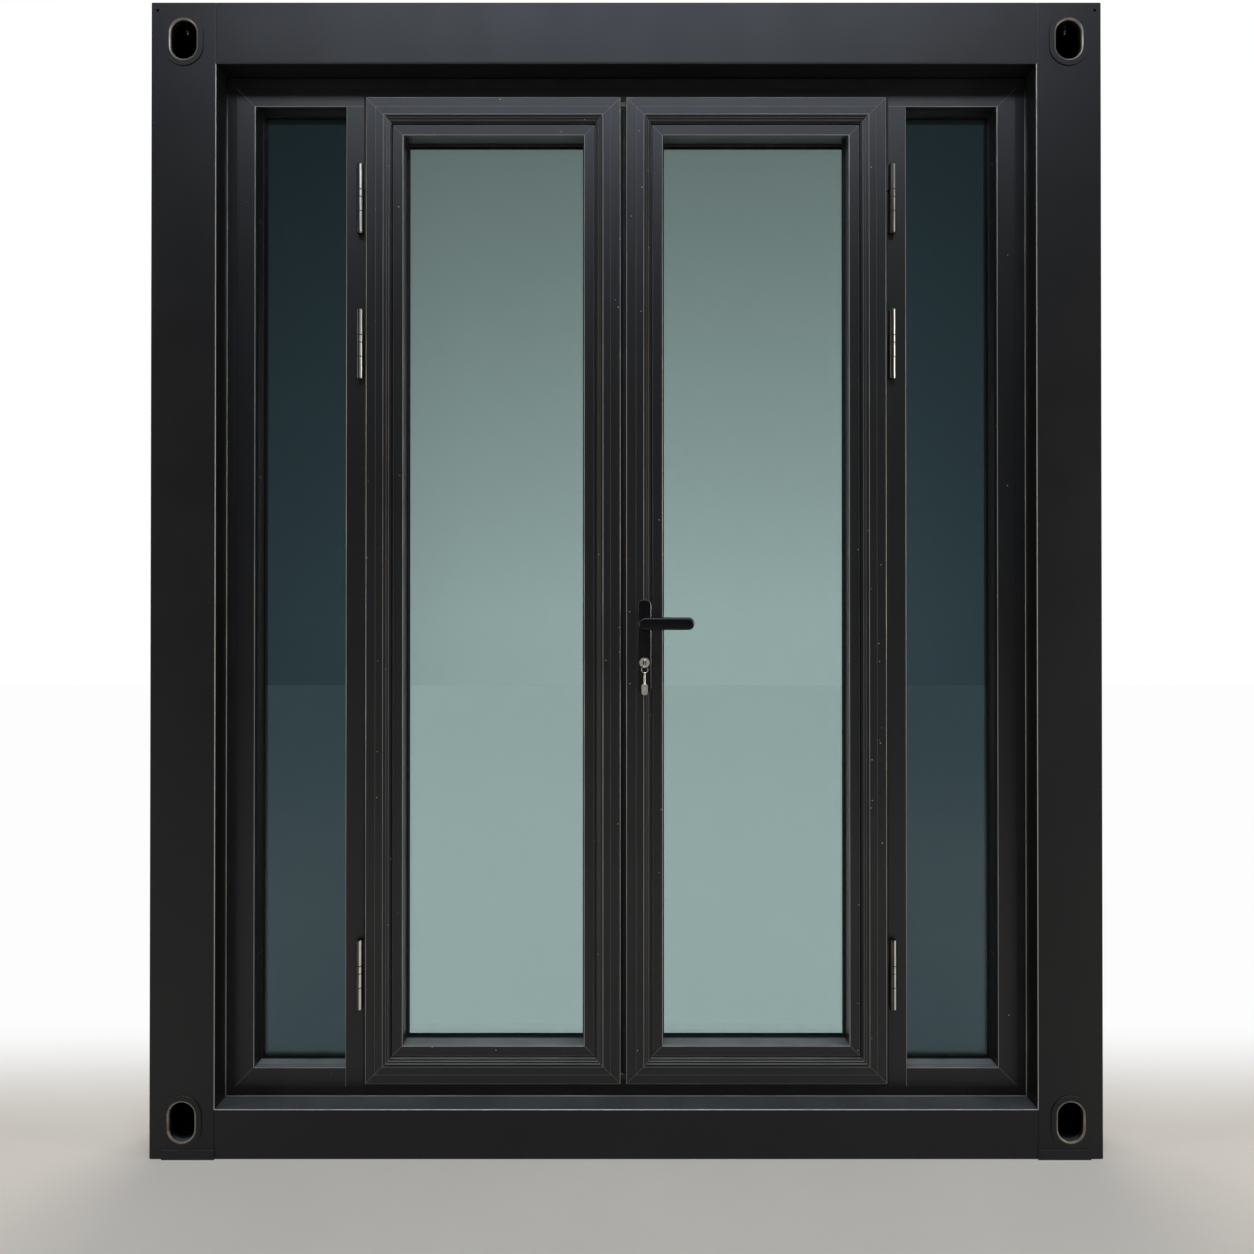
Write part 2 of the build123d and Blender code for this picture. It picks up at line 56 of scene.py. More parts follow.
def add(tree, kind, inputs=None, **settings):
    """Add a node with its settings. An input is a plain value or another node's output."""
    node = tree.nodes.new("ShaderNode" + kind)
    for name, value in settings.items():
        setattr(node, name, value)
    for name, value in (inputs or {}).items():
        if isinstance(value, bpy.types.NodeSocket):
            tree.links.new(value, node.inputs[name])
        else:
            node.inputs[name].default_value = value
    return node


def finish(name, **values):
    """New material with the constant values of its surface. Gives it, its tree and its shader."""
    material = bpy.data.materials.new(name)
    material.use_nodes = True
    shader = material.node_tree.nodes["Principled BSDF"]
    for socket, value in values.items():
        shader.inputs[socket.replace("_", " ")].default_value = value
    return material, material.node_tree, shader


def blend(tree, factor, first, second):
    """Colour between two others, which are hex values or outputs of other nodes."""
    ends = [linear(end) if isinstance(end, str) else end for end in (first, second)]
    return add(tree, "Mix", {"Factor": factor, "A": ends[0], "B": ends[1]}, data_type="RGBA").outputs[2]


def uneven(tree, vector, size, low, high, detail=2.0):
    """Soft random value between two limits, with features of about this size in metres."""
    noise = add(tree, "TexNoise", {"Vector": vector, "Scale": 1 / size, "Detail": detail})
    span = add(tree, "MapRange", {"Value": noise.outputs["Fac"], "From Min": 0.3, "From Max": 0.7,
                                  "To Min": low, "To Max": high})
    return span.outputs["Result"]


def specks(tree, vector, spacing, radius, share):
    """Mask of scattered grit: its spacing and radius in metres, and the share of it that shows."""
    cells = add(tree, "TexVoronoi", {"Vector": vector, "Scale": 1 / spacing})
    near = radius / spacing
    dot = add(tree, "MapRange", {"Value": cells.outputs["Distance"], "From Min": 0.6 * near,
                                 "From Max": near, "To Min": 1.0, "To Max": 0.0})
    chance = add(tree, "SeparateColor", {"Color": cells.outputs["Color"]})
    chosen = add(tree, "Math", {0: chance.outputs["Red"], 1: share}, operation="LESS_THAN")
    shown = add(tree, "Math", {0: dot.outputs["Result"], 1: chosen.outputs[0]}, operation="MULTIPLY")
    return shown.outputs[0]


def wear(material, *node_names):
    """Give CAD nodes a material through their own slots."""
    for name in node_names:
        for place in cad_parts[name].material_slots:
            place.material = material


def edge_lines(tree, distance, reach, lines):
    """Mask of thin lines along a distance in metres: each has its place, half width and strength."""
    share = add(tree, "Math", {0: distance, 1: reach}, operation="DIVIDE")
    ramp = add(tree, "ValToRGB", {"Fac": share.outputs[0]})
    stops = ramp.color_ramp.elements
    stops[-1].color = (0.0, 0.0, 0.0, 1.0)
    for middle, half, strength in lines:
        for at, grey in ((middle - half, 0.0), (middle, strength), (middle + half, 0.0)):
            stops.new(at / reach).color = (grey, grey, grey, 1.0)
    return ramp.outputs["Color"]


def outside_of(tree, place, centre, half):
    """Distances past the sides of an upright rectangle in X and in Z, and the larger of the two."""
    apart = add(tree, "SeparateXYZ", {"Vector": place})
    past = []
    for axis, middle, size in (("X", centre[0], half[0]), ("Z", centre[1], half[1])):
        shifted = add(tree, "Math", {0: apart.outputs[axis], 1: middle}, operation="SUBTRACT")
        away = add(tree, "Math", {0: shifted.outputs[0]}, operation="ABSOLUTE")
        past.append(add(tree, "Math", {0: away.outputs[0], 1: size}, operation="SUBTRACT").outputs[0])
    larger = add(tree, "Math", {0: past[0], 1: past[1]}, operation="MAXIMUM").outputs[0]
    return past, larger


def ahead_of(tree, place, plane):
    """Mask of what lies on the outer side of a plane across the door."""
    apart = add(tree, "SeparateXYZ", {"Vector": place})
    return add(tree, "Math", {0: apart.outputs["Y"], 1: plane}, operation="LESS_THAN").outputs[0]


def lower_down(tree, place, full, least, share):
    """Factor that is one up to a height and falls to a share of that at a greater height."""
    apart = add(tree, "SeparateXYZ", {"Vector": place})
    return add(tree, "MapRange", {"Value": apart.outputs["Z"], "From Min": full, "From Max": least,
                                  "To Min": 1.0, "To Max": share}).outputs["Result"]


def dust_and_top_light(tree, place, share):
    """Mask of dust on faces that look up, which also paints the light falling on them, patchy over a hand's
    width, with the most that lies there.
    """
    facing = add(tree, "SeparateXYZ", {"Vector": add(tree, "TexCoord").outputs["Normal"]})
    upward = add(tree, "MapRange", {"Value": facing.outputs["Z"], "From Min": 0.6, "From Max": 0.95,
                                    "To Min": 0.0, "To Max": share})
    patchy = uneven(tree, place, 90 * MM, 0.7, 1.0)
    return add(tree, "Math", {0: upward.outputs["Result"], 1: patchy}, operation="MULTIPLY").outputs[0]


# Powder coat on steel: a dull charcoal plastic skin that spreads highlights. Round the opening a painted
# highlight of bright metal runs along the rolled arris. It is full at the sides and the foot, and dimmed
# along the header as painted shade
OPENING = ((0.0, 1.2275), (0.880, 1.1205))
STEEL_ARRIS_BACK = -77.5 * MM
# Heights between which the painted highlight dims to painted shade, at the header's lower edge
HEADER_SHADE_EDGE = (2.3470, 2.3478)
steel_coat, tree, shader = finish("powder_coated_steel", IOR=1.5, Specular_IOR_Level=0.36)
place = add(tree, "TexCoord").outputs["Object"]
tone = blend(tree, uneven(tree, place, 350 * MM, 0.0, 1.0, 3.0), "#0D0E10", "#121416")
tone = blend(tree, specks(tree, place, 60 * MM, 0.8 * MM, 0.2), tone, "#5A5B5C")
# Pale dust on faces that look up, which also paints the light that falls on them
tone = blend(tree, dust_and_top_light(tree, place, 1.0), tone, "#5C6063")
# Painted highlight: a bright metal line on the opening's arris, in front only, dimmed under the header as
# painted shade
rolled = edge_lines(tree, outside_of(tree, place, *OPENING)[1], 20 * MM, [(1.1 * MM, 1.0 * MM, 1.0)])
below_header_shade = lower_down(tree, place, *HEADER_SHADE_EDGE, 0.12)
outside = ahead_of(tree, place, STEEL_ARRIS_BACK)
highlight_reach = add(tree, "Math", {0: below_header_shade, 1: outside}, operation="MULTIPLY").outputs[0]
painted_highlight = add(tree, "Math", {0: rolled, 1: highlight_reach}, operation="MULTIPLY").outputs[0]
tree.links.new(blend(tree, painted_highlight, tone, "#D2CEC5"), shader.inputs["Base Color"])
tree.links.new(painted_highlight, shader.inputs["Metallic"])
tree.links.new(uneven(tree, place, 120 * MM, 0.39, 0.43), shader.inputs["Roughness"])
# Orange peel is about 1.5 mm across, drawn at 4 mm so that it shows
peel = add(tree, "TexNoise", {"Vector": place, "Scale": 1 / (4 * MM), "Detail": 1.0})
bump = add(tree, "Bump", {"Height": peel.outputs["Fac"], "Strength": 0.04, "Distance": 0.1 * MM})
tree.links.new(bump.outputs["Normal"], shader.inputs["Normal"])

wear(steel_coat, "left_post", "right_post", "header_beam", "sill_beam")


# Corner fittings.
# Hollow steel blocks, coated with the posts. Each has a slot for lifting hooks with a rolled lip over its
# chamfered edge, rubbed by hooks, and in the upper ones the plated cap nut of a roof bolt shows.

FITTING_X = 0.950
FITTING_HEIGHTS = (("top", 2.400), ("bottom", 0.080))
SLOT_RADIUS = 27 * MM
SLOT_SHIFT = 14.5 * MM
LIP = 4 * MM
LIP_FRONT = -82 * MM
NUT_RADIUS = 8 * MM
NUT_DEPTH = 6 * MM
NUT_CAP_RADIUS = 6 * MM
NUT_OUTWARD = 28.5 * MM
NUT_Z = 2.465


def made(name, mesh, material, body):
    """Turn a finished bmesh into a piece that rides on a body."""
    data = bpy.data.meshes.new(name)
    mesh.to_mesh(data)
    mesh.free()
    data.materials.append(material)
    piece = bpy.data.objects.new(name, data)
    bpy.context.scene.collection.objects.link(piece)
    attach(piece, body)
    return piece


def soften(mesh, degrees=40):
    """Point faces outwards and shade smoothly, except over edges that turn by more than this angle."""
    bmesh.ops.recalc_face_normals(mesh, faces=mesh.faces[:])
    for face in mesh.faces:
        face.smooth = True
    for edge in mesh.edges:
        edge.smooth = len(edge.link_faces) == 2 and edge.calc_face_angle() < math.radians(degrees)


def new_verts(result):
    """Vertices that an extrusion has made."""
    return [item for item in result["geom"] if isinstance(item, bmesh.types.BMVert)]


def mottled(tree, shader, place, patch, tones, grain, dullness):
    """Colour that drifts between two tones, and roughness that drifts between two limits. Both drift over
    sizes in metres."""
    tone = blend(tree, uneven(tree, place, patch, 0.0, 1.0), *tones)
    tree.links.new(tone, shader.inputs["Base Color"])
    tree.links.new(uneven(tree, place, grain, *dullness), shader.inputs["Roughness"])


UPRIGHT = Matrix.Rotation(math.radians(90), 3, "X")

# Rubbed steel: the coat on the lips is worn to a warm grey metal in patches
lip_steel, tree, shader = finish("rubbed_coated_steel")
place = add(tree, "TexCoord").outputs["Object"]
bare = uneven(tree, place, 18 * MM, 0.35, 1.0)
tree.links.new(blend(tree, bare, "#17181A", "#A1988B"), shader.inputs["Base Color"])
tree.links.new(bare, shader.inputs["Metallic"])
tree.links.new(uneven(tree, place, 9 * MM, 0.30, 0.44), shader.inputs["Roughness"])

# Zinc plate: bright bluish white and nearly smooth
zinc_plate, tree, shader = finish("zinc_plate", Metallic=1.0)
place = add(tree, "TexCoord").outputs["Object"]
mottled(tree, shader, place, 6 * MM, ("#D4D8DC", "#F2F4F5"), 3 * MM, (0.12, 0.22))

for level, height in FITTING_HEIGHTS:
    for side, x in (("left", -FITTING_X), ("right", FITTING_X)):
        wear(steel_coat, f"{level}_{side}_corner_fitting")
        lip = bmesh.new()
        rim = bmesh.ops.create_circle(lip, segments=64, radius=SLOT_RADIUS)["verts"]
        outer = new_verts(bmesh.ops.extrude_edge_only(lip, edges=lip.edges[:]))
        bmesh.ops.scale(lip, verts=outer, vec=(1 + LIP / SLOT_RADIUS, 1 + LIP / SLOT_RADIUS, 1))
        for end in (1, -1):
            half = [vert for vert in lip.verts if vert.co.y * end > 1e-6]
            bmesh.ops.translate(lip, verts=half, vec=(0, end * SLOT_SHIFT, 0))
        inner_loop = [edge for edge in lip.edges if all(vert in rim for vert in edge.verts)]
        deep = new_verts(bmesh.ops.extrude_edge_only(lip, edges=inner_loop))
        bmesh.ops.translate(lip, verts=deep, vec=(0, 0, -LIP))
        bmesh.ops.bridge_loops(lip, edges=[edge for edge in lip.edges if edge.is_boundary])
        crest = [edge for edge in lip.edges if all(vert in rim for vert in edge.verts)]
        bmesh.ops.bevel(lip, geom=crest, offset=0.98 * LIP, segments=5, profile=0.5, affect="EDGES",
                        material=-1)
        bmesh.ops.rotate(lip, verts=lip.verts[:], matrix=UPRIGHT)
        bmesh.ops.translate(lip, verts=lip.verts[:], vec=(x, LIP_FRONT, height))
        soften(lip)
        made(f"{level}_{side}_slot_lip", lip, lip_steel, "frame")

        if level == "top":
            nut = bmesh.new()
            hexagon = bmesh.ops.create_cone(nut, cap_ends=True, segments=6, radius1=NUT_RADIUS,
                                            radius2=NUT_RADIUS, depth=NUT_DEPTH)["verts"]
            corners = list({item for vert in hexagon for item in vert.link_edges})
            bmesh.ops.bevel(nut, geom=corners, offset=0.6 * MM, segments=2, profile=0.5, affect="EDGES",
                            material=-1)
            cap = bmesh.ops.create_uvsphere(nut, u_segments=24, v_segments=12,
                                            radius=NUT_CAP_RADIUS)["verts"]
            bmesh.ops.translate(nut, verts=cap, vec=(0, 0, -NUT_DEPTH / 2))
            bmesh.ops.translate(nut, verts=nut.verts[:], vec=(x + math.copysign(NUT_OUTWARD, x), 0, NUT_Z))
            soften(nut, 50)
            made(f"{side}_roof_bolt_nut", nut, zinc_plate, "frame")


# Aluminium frame of the doorway and the sidelights.
# Extruded profiles in a charcoal powder coat, mitred at the outer corners, with mullions between.
# Extrusion leaves faint lines along each length, and the mitres show as open hairlines.


def profile_coat(name, centre, half, tones, shine, grit, front=0.0, arrises=()):
    """Powder coat on bars that are mitred round a rectangle, given by its centre and half size in X and Z.
    The arrises are painted highlights: bright metallic lines in from the bars' outer edge, shown in front of
    the plane given by front."""
    material, tree, shader = finish(name, IOR=1.5)
    place = add(tree, "TexCoord").outputs["Object"]
    reach, outer = outside_of(tree, place, centre, half)
    lean = add(tree, "Math", {0: reach[0], 1: reach[1]}, operation="SUBTRACT").outputs[0]
    upright = add(tree, "Math", {0: lean, 1: 0.0}, operation="GREATER_THAN").outputs[0]

    # A mitre shows as a dark slit with a bright sawn edge on one side
    masks = []
    for middle, width in ((0.0, 0.6 * MM), (1.1 * MM, 0.7 * MM)):
        off = add(tree, "Math", {0: lean, 1: middle}, operation="SUBTRACT")
        distance = add(tree, "Math", {0: off.outputs[0]}, operation="ABSOLUTE")
        shown = add(tree, "MapRange", {"Value": distance.outputs[0], "From Min": 0.6 * width,
                                       "From Max": width, "To Min": 1.0, "To Max": 0.0})
        masks.append(shown.outputs["Result"])

    # Drawing lines are 2 mm apart and run the length of a bar, up a stile or along a rail
    drawn = []
    for stretch in ((500.0, 500.0, 4.0), (4.0, 500.0, 500.0)):
        turned = add(tree, "Mapping", {"Vector": place, "Scale": stretch})
        noise = add(tree, "TexNoise", {"Vector": turned.outputs["Vector"], "Scale": 1.0, "Detail": 2.0})
        drawn.append(noise.outputs["Fac"])
    lines = add(tree, "Mix", {"Factor": upright, "A": drawn[1], "B": drawn[0]}, data_type="FLOAT").outputs[0]

    tone = blend(tree, uneven(tree, place, 250 * MM, 0.0, 1.0, 3.0), *tones)
    tone = blend(tree, specks(tree, place, 24 * MM, 1.3 * MM, grit), tone, "#D2CFC7")
    # Pale dust on faces that look up, which also paints the light that falls on them
    tone = blend(tree, dust_and_top_light(tree, place, 1.0), tone, "#8A9090")
    tone = blend(tree, masks[1], tone, "#6F6E6A")
    # Painted highlights: bright metallic lines along the arrises, in front only and patchy in strength
    if arrises:
        depth = add(tree, "Math", {0: outer, 1: -1.0}, operation="MULTIPLY").outputs[0]
        arris_highlight = edge_lines(tree, depth, 90 * MM, arrises)
        seen = add(tree, "Math", {0: arris_highlight, 1: ahead_of(tree, place, front)}, operation="MULTIPLY")
        patchy = uneven(tree, place, 160 * MM, 0.55, 1.0)
        painted_highlight = add(tree, "Math", {0: seen.outputs[0], 1: patchy}, operation="MULTIPLY")
        tone = blend(tree, painted_highlight.outputs[0], tone, "#CFCBC3")
        tree.links.new(painted_highlight.outputs[0], shader.inputs["Metallic"])
    tone = blend(tree, masks[0], tone, "#060607")
    tree.links.new(tone, shader.inputs["Base Color"])
    rough = add(tree, "MapRange", {"Value": lines, "From Min": 0.3, "From Max": 0.7, "To Min": shine - 0.02,
                                   "To Max": shine + 0.02})
    tree.links.new(rough.outputs["Result"], shader.inputs["Roughness"])
    bump = add(tree, "Bump", {"Height": lines, "Strength": 0.04, "Distance": 0.05 * MM})
    tree.links.new(bump.outputs["Normal"], shader.inputs["Normal"])
    return material


FRAME_FACE = -22 * MM
FRAME_ARRIS_BACK = FRAME_FACE + 2.5 * MM
FRAME_TONES = ("#0F1012", "#141618")
# Painted highlight along the frame's arris where it meets the steel
frame_coat = profile_coat("powder_coated_frame_profile", *OPENING, FRAME_TONES, 0.36, 0.10,
                          FRAME_ARRIS_BACK, [(60.9 * MM, 1.0 * MM, 0.8)])
wear(frame_coat, "frame_head", "frame_left_jamb", "frame_right_jamb", "sidelight_sills", "door_threshold")
# Mullions and beads are cut square. Their rectangles reach far past the ends, so that no mitre shows
MULLION_HALF = (0.618, 5.0)
BEAD_HALF = (5.0, 5.0)
# Painted highlight along the mullions' outer arris
mullion_coat = profile_coat("powder_coated_mullion", OPENING[0], MULLION_HALF, FRAME_TONES, 0.36, 0.10,
                            FRAME_ARRIS_BACK, [(1.1 * MM, 1.0 * MM, 0.8)])
wear(mullion_coat, "left_mullion", "right_mullion")


# Perimeter joint.
# Black silicone fills the corner between the steel opening and the aluminium frame, tooled to a slope. Its
# dark band also stands in for the shade that falls on the frame beside the steel.
# A thin aluminium trim runs in the corner beside it and catches the light.

OPENING_X = (-0.880, 0.880)
OPENING_Z = (0.107, 2.348)
SEALANT_WIDTH = 20 * MM
SEALANT_EDGES = (3.0 * MM, 0.4 * MM)
TRIM_SIZE = 2.2 * MM
# Heights between which the trim turns from bright to dark, as painted shade under the header
TRIM_SHADE_HEIGHTS = (2.20, 2.33)


def strip_ring(x, z, back, width, outer_thickness, inner_thickness):
    """Mitred flat strip round a rectangle, on the plane y = back, with its thickness at both edges."""
    strip = bmesh.new()
    bmesh.ops.create_grid(strip, x_segments=1, y_segments=1, size=0.5)
    bmesh.ops.scale(strip, verts=strip.verts[:], vec=(x[1] - x[0], z[1] - z[0], 1))
    bmesh.ops.rotate(strip, verts=strip.verts[:], matrix=UPRIGHT)
    bmesh.ops.translate(strip, verts=strip.verts[:], vec=((x[0] + x[1]) / 2, back, (z[0] + z[1]) / 2))
    sheet = strip.faces[:][0]
    outer = set(sheet.verts)
    bmesh.ops.inset_region(strip, faces=[sheet], thickness=width, use_boundary=True, use_even_offset=True)
    bmesh.ops.delete(strip, geom=[sheet], context="FACES")
    middle = [vert.co.copy() for vert in outer]
    front = new_verts(bmesh.ops.extrude_face_region(strip, geom=strip.faces[:]))
    at_edge = [vert for vert in front if any((vert.co - spot).length < 1e-5 for spot in middle)]
    inside = [vert for vert in front if vert not in at_edge]
    bmesh.ops.translate(strip, verts=at_edge, vec=(0, -outer_thickness, 0))
    bmesh.ops.translate(strip, verts=inside, vec=(0, -inner_thickness, 0))
    return strip


# Silicone sealant: black and rubbery, with a soft sheen where it was tooled, darker than the frame as
# painted shade beside the steel
silicone_and_shade, tree, shader = finish("tooled_silicone_and_shade", IOR=1.41)
place = add(tree, "TexCoord").outputs["Object"]
mottled(tree, shader, place, 60 * MM, ("#070708", "#0F1012"), 20 * MM, (0.45, 0.62))
ripple = add(tree, "TexNoise", {"Vector": place, "Scale": 1 / (12 * MM), "Detail": 1.0})
bump = add(tree, "Bump", {"Height": ripple.outputs["Fac"], "Strength": 0.2, "Distance": 0.4 * MM})
tree.links.new(bump.outputs["Normal"], shader.inputs["Normal"])

# The dark band also stands in for the shade beside the steel opening
joint = strip_ring(OPENING_X, OPENING_Z, FRAME_FACE, SEALANT_WIDTH, *SEALANT_EDGES)
soften(joint, 30)
made("perimeter_silicone_and_shade", joint, silicone_and_shade, "frame")

edge = strip_ring(OPENING_X, OPENING_Z, FRAME_FACE - SEALANT_EDGES[0], TRIM_SIZE, TRIM_SIZE, TRIM_SIZE)
crest = [item for item in edge.edges if item.calc_face_angle(0.0) > 0.5
         and all(vert.co.y < FRAME_FACE - 4 * MM for vert in item.verts)]
bmesh.ops.bevel(edge, geom=crest, offset=1.0 * MM, segments=3, profile=0.5, affect="EDGES", material=-1)
soften(edge, 60)

# Anodised aluminium: a grey, slightly green metal with drawing lines too fine to show. Near the top it is
# painted dark, as the shade under the header
trim_metal, tree, shader = finish("anodised_aluminium", Metallic=1.0)
place = add(tree, "TexCoord").outputs["Object"]
tone = blend(tree, uneven(tree, place, 80 * MM, 0.0, 1.0), "#B0B4AD", "#CDCDC4")
# Painted shade: the trim goes dark towards the header
clear_of_header_shade = lower_down(tree, place, *TRIM_SHADE_HEIGHTS, 0.0)
tree.links.new(blend(tree, clear_of_header_shade, "#1B1C1D", tone), shader.inputs["Base Color"])
tree.links.new(uneven(tree, place, 30 * MM, 0.30, 0.42), shader.inputs["Roughness"])
made("opening_edge_trim", edge, trim_metal, "frame")


# Rebate gasket.
# A flat black rubber strip on the frame's face, all round the doorway. The leaves' lips close on it, and it
# shows past them as a thin dark line, which also stands in for the shadow in the gap round the leaves.

# Gasket rubber: extruded black rubber, matte, greyed by dust
gasket_rubber, tree, shader = finish("extruded_rubber", IOR=1.5)
place = add(tree, "TexCoord").outputs["Object"]
mottled(tree, shader, place, 40 * MM, ("#060607", "#0D0E0F"), 15 * MM, (0.6, 0.78))

REBATE_X = (-0.5786, 0.5786)
REBATE_Z = (0.1270, 2.3132)
REBATE_STRIP = (16 * MM, 0.8 * MM, 1.0 * MM)
# The strip's dark line past the leaves also stands in for the shadow in the gap round them
rebate_and_shadow = strip_ring(REBATE_X, REBATE_Z, FRAME_FACE, *REBATE_STRIP)
soften(rebate_and_shadow)
made("doorway_rebate_and_shadow_gasket", rebate_and_shadow, gasket_rubber, "frame")


# Sidelight glazing.
# Sealed units of tinted float glass, held by sloped outside trims and clipped inside beads.
# Rubber gaskets show as a dark line round each pane.

# Float glass, tinted grey: the bulk colour darkens and cools what is seen through it
sidelight_pane, tree, shader = finish("tinted_float_glass", IOR=1.52, Transmission_Weight=1.0, Roughness=0.0)
shader.inputs["Base Color"].default_value = linear("#6C8187")
wear(sidelight_pane, "sidelight_glass")

bead_coat = profile_coat("powder_coated_bead", OPENING[0], BEAD_HALF, FRAME_TONES, 0.32, 0.10)
wear(bead_coat, "sidelight_beads")
wear(gasket_rubber, "sidelight_gaskets")
SIDELIGHT_SPANS = (("left", (-0.813, -0.623)), ("right", (0.623, 0.813)))
SIDELIGHT_Z = (0.174, 2.281)
SIDELIGHT_PANE_FACE = 11 * MM
SIDELIGHT_LIP = (2.2 * MM, 1.8 * MM, 0.5 * MM)
for side, x in SIDELIGHT_SPANS:
    lip = strip_ring(x, SIDELIGHT_Z, SIDELIGHT_PANE_FACE, *SIDELIGHT_LIP)
    soften(lip)
    made(f"{side}_sidelight_gasket_lip", lip, gasket_rubber, "frame")


# Leaves.
# Each leaf is four ribbed and stepped aluminium bars, mitred, with glass held by a deep bead.
# Swarf and dust lie on the coat as pale specks.

LEAF_SPANS = (("left", (-0.571, -0.012)), ("right", (0.0, 0.571)))
LEAF_Z = (0.138, 2.301)
LEAF_TONES = ("#111214", "#17191B")
LEAF_ARRIS_BACK = -15 * MM
SIGHT = 81 * MM
PANE_FACE = 15 * MM
LEAF_LIP = (4.0 * MM, 2.6 * MM, 0.6 * MM)
BLADE_SIZE = (7.4 * MM, 2.0 * MM, 2.130)
BLADE_REACH = 3.8 * MM
BLADE_DEPTHS = {"left": -16.2 * MM, "right": -22.2 * MM}
# Painted highlights at the outer arris, edge of the score, ridge, two ribs, and both edges of the glazing
# bead
LEAF_ARRISES = [(1.1 * MM, 1.0 * MM, 0.8), (21.6 * MM, 0.5 * MM, 0.4), (38.6 * MM, 1.0 * MM, 0.9),
                (45.2 * MM, 0.6 * MM, 0.45), (49.5 * MM, 0.6 * MM, 0.6), (58.7 * MM, 0.7 * MM, 0.55),
                (79.9 * MM, 1.1 * MM, 0.9)]

leaf_pane, tree, shader = finish("clear_float_glass", IOR=1.52, Transmission_Weight=1.0, Roughness=0.0)
shader.inputs["Base Color"].default_value = linear("#C3D2D0")

for side, span in LEAF_SPANS:
    centre = ((span[0] + span[1]) / 2, (LEAF_Z[0] + LEAF_Z[1]) / 2)
    half = ((span[1] - span[0]) / 2, (LEAF_Z[1] - LEAF_Z[0]) / 2)
    # Painted highlights along the leaf's arrises, ridge, ribs and bead edges
    leaf_coat = profile_coat(f"powder_coated_{side}_leaf_profile", centre, half, LEAF_TONES, 0.34, 0.50,
                             LEAF_ARRIS_BACK, LEAF_ARRISES)
    bars = ("hinge_stile", "meeting_stile", "top_rail", "bottom_rail", "beads")
    wear(leaf_coat, *(f"{side}_leaf_{bar}" for bar in bars))
    wear(leaf_pane, f"{side}_leaf_glass")
    wear(gasket_rubber, f"{side}_leaf_seals")
    inner_x = (span[0] + SIGHT, span[1] - SIGHT)
    inner_z = (LEAF_Z[0] + SIGHT, LEAF_Z[1] - SIGHT)
    lip = strip_ring(inner_x, inner_z, PANE_FACE, *LEAF_LIP)
    soften(lip)
    made(f"{side}_leaf_gasket_lip", lip, gasket_rubber, f"{side}_leaf")

    # Rubber blade on the meeting seal. The right one lies in front of the left one, so that no light comes
    # through, and both end just short of the frame's head and the threshold
    blade = bmesh.new()
    bmesh.ops.create_cube(blade, size=1.0)
    bmesh.ops.scale(blade, verts=blade.verts[:], vec=BLADE_SIZE)
    inward = 1 if side == "left" else -1
    nose = [item for item in blade.edges if all(vert.co.x * inward > 0 for vert in item.verts)
            and abs(item.verts[0].co.z - item.verts[1].co.z) > 1.0]
    bmesh.ops.bevel(blade, geom=nose, offset=0.9 * MM, segments=4, profile=0.5, affect="EDGES", material=-1)
    seat = span[1] + BLADE_REACH if side == "left" else span[0] - BLADE_REACH
    bmesh.ops.translate(blade, verts=blade.verts[:], vec=(seat, BLADE_DEPTHS[side], centre[1]))
    soften(blade)
    made(f"{side}_meeting_blade", blade, gasket_rubber, f"{side}_leaf")


# Hinges.
# Polished steel barrels that lift off their pins, with brass washers between the knuckles and small end
# caps, and a painted highlight down one side of each barrel. The flat wings behind the leaf's lip are coated
# black with the frame, which also paints the shade in the gap beside the leaf.

HINGE_X = 0.585
HINGE_Y = -30 * MM
HINGE_RADIUS = 7 * MM
HINGE_HEIGHTS = (2.079, 1.759, 0.376)
HINGE_HALF = 75 * MM
WASHERS_FROM_TOP = (55.6 * MM, 72 * MM, 103 * MM)
CAP_LIFT = 0.6 * MM
CAP_DISC = (HINGE_RADIUS - 0.6 * MM, 1.6 * MM, 0.7 * MM)
WASHER_DISC = (HINGE_RADIUS + 0.15 * MM, 1.0 * MM, 0.1 * MM)
UPPER_KNUCKLE = (0.0, 55.0 * MM)
LOWER_KNUCKLES = ((56.3 * MM, 71.4 * MM), (72.6 * MM, 102.4 * MM), (103.6 * MM, 150.0 * MM))

# Powder coat on the wings: the frame's charcoal, seen only in the gap beside the leaf, where it also stands
# in for the shade there
wing_coat_and_shade, tree, shader = finish("powder_coated_hinge_wing_and_shade", IOR=1.5)
place = add(tree, "TexCoord").outputs["Object"]
mottled(tree, shader, place, 30 * MM, ("#0A0A0B", "#111214"), 20 * MM, (0.36, 0.46))
wear(wing_coat_and_shade, "hinge_frame_halves", "hinge_pins", "left_hinge_leaf_halves", "right_hinge_leaf_halves")

# Polished steel: dark with handling film, with a painted highlight of bright metal along the side that faces
# towards the outside and the right on every barrel
HIGHLIGHT_SIDE = (0.50, -0.866, 0.0)
hinge_steel, tree, shader = finish("polished_steel", Metallic=1.0)
coords = add(tree, "TexCoord")
# Painted highlight: bright metal on the part of each barrel that faces outwards and to the right
toward_highlight = add(tree, "VectorMath", {0: coords.outputs["Normal"], 1: HIGHLIGHT_SIDE}, operation="DOT_PRODUCT")
barrel_highlight = add(tree, "MapRange", {"Value": toward_highlight.outputs["Value"], "From Min": 0.92, "From Max": 0.96})
place = coords.outputs["Object"]
film = blend(tree, uneven(tree, place, 25 * MM, 0.0, 1.0), "#4A4A4B", "#565655")
tree.links.new(blend(tree, barrel_highlight.outputs["Result"], film, "#F4F1E8"), shader.inputs["Base Color"])
tree.links.new(uneven(tree, place, 40 * MM, 0.28, 0.32), shader.inputs["Roughness"])

